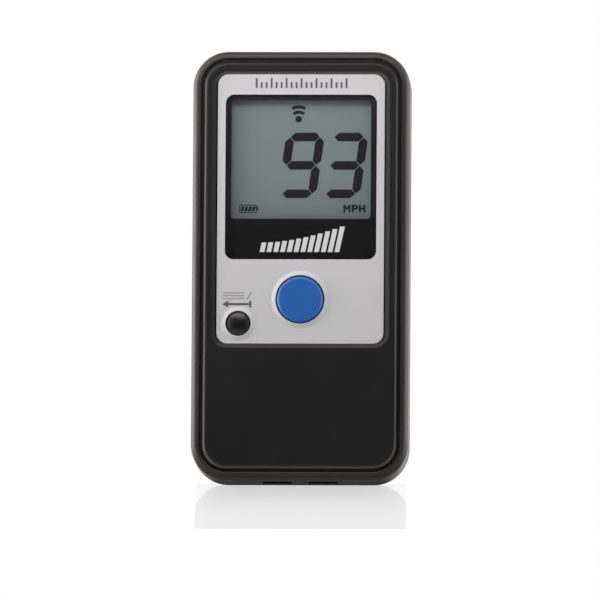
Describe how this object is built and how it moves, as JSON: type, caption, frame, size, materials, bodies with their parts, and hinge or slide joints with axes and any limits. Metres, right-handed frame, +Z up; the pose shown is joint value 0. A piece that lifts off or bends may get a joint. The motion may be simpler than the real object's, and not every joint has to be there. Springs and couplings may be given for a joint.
{
  "type": "handheld speed radar",
  "caption": "Flat handheld speed radar with a numeric display, a large round button, a small one beside it and a hinged battery door.",
  "frame": {"origin": "centre of the bottom end, which the device stands on", "axes": "+Z up the long side, +Y from the display towards the back, +X to the right of a user who looks at the display"},
  "size_m": [0.059, 0.021, 0.1174],
  "materials": {
    "case_front": "fine moulded texture, satin bezel",
    "case_back": "fine soft-touch texture",
    "faceplate": "matte printed grey",
    "tape": "clear adhesive",
    "window": "clear polished pane",
    "window_mask": "gloss black print",
    "polariser": "satin grey-green film",
    "lcd_glass": "polished glass",
    "lcd_reflector": "satin grey-green film",
    "holder": "moulded white plastic",
    "zebra": "layered elastomer",
    "measure_button": "satin blue",
    "mode_button": "satin black",
    "silicone": "translucent silicone",
    "carbon": "carbon-loaded rubber",
    "board": "green solder mask",
    "chip": "moulded epoxy",
    "tin": "tinned",
    "capacitor": "ceramic",
    "antenna_board": "laminate",
    "copper": "copper foil",
    "nylon": "nylon",
    "cell": "plain printed sleeve with steel ends",
    "contact": "nickel-plated spring steel",
    "door": "fine soft-touch texture",
    "foam": "closed-cell foam",
    "label": "matte printed film",
    "screw": "zinc-plated"
  },
  "bodies": {
    "housing": {"front_shell": "case_front", "back_shell": "case_back", "faceplate": "faceplate", "faceplate_tape": "tape", "display_window": "window", "window_mask": "window_mask", "window_tape": "tape", "lcd_front_polariser": "polariser", "lcd_front_glass": "lcd_glass", "lcd_rear_glass": "lcd_glass", "lcd_reflector": "lcd_reflector", "lcd_holder": "holder", "upper_zebra_strip": "zebra", "lower_zebra_strip": "zebra", "measure_dome": "silicone", "mode_dome": "silicone", "keypad_mat": "silicone", "main_board": "board", "processor_chip": "chip", "display_driver_chip": "chip", "crystal_can": "tin", "board_capacitors": "capacitor", "board_header": "chip", "antenna_board": "antenna_board", "antenna_patches": "copper", "antenna_spacers": "nylon", "rf_shield_can": "tin", "left_cell": "cell", "right_cell": "cell", "spring_contact": "contact", "button_contact": "contact", "link_contact": "contact", "rear_label": "label", "board_screws": "screw", "case_screws": "screw"},
    "measure_button": {"measure_button": "measure_button", "measure_pill": "carbon"},
    "mode_button": {"mode_button": "mode_button", "mode_pill": "carbon"},
    "door": {"battery_door": "door", "door_foam_pad": "foam"}
  },
  "joints": [
    {"name": "measure_press", "type": "slide", "parent": "housing", "child": "measure_button", "axis": [0, 1, 0], "range_m": [0, 0.0008], "stiffness_N_per_m": 1500, "springref_m": -0.0003, "deforming": ["measure_dome"]},
    {"name": "mode_press", "type": "slide", "parent": "housing", "child": "mode_button", "axis": [0, 1, 0], "range_m": [0, 0.0006], "stiffness_N_per_m": 1500, "springref_m": -0.0003, "deforming": ["mode_dome"]},
    {"name": "door_hinge", "type": "hinge", "parent": "housing", "child": "door", "pos_m": [0, 0.0105, 0.0628], "axis": [1, 0, 0], "range_deg": [0, 70]}
  ]
}
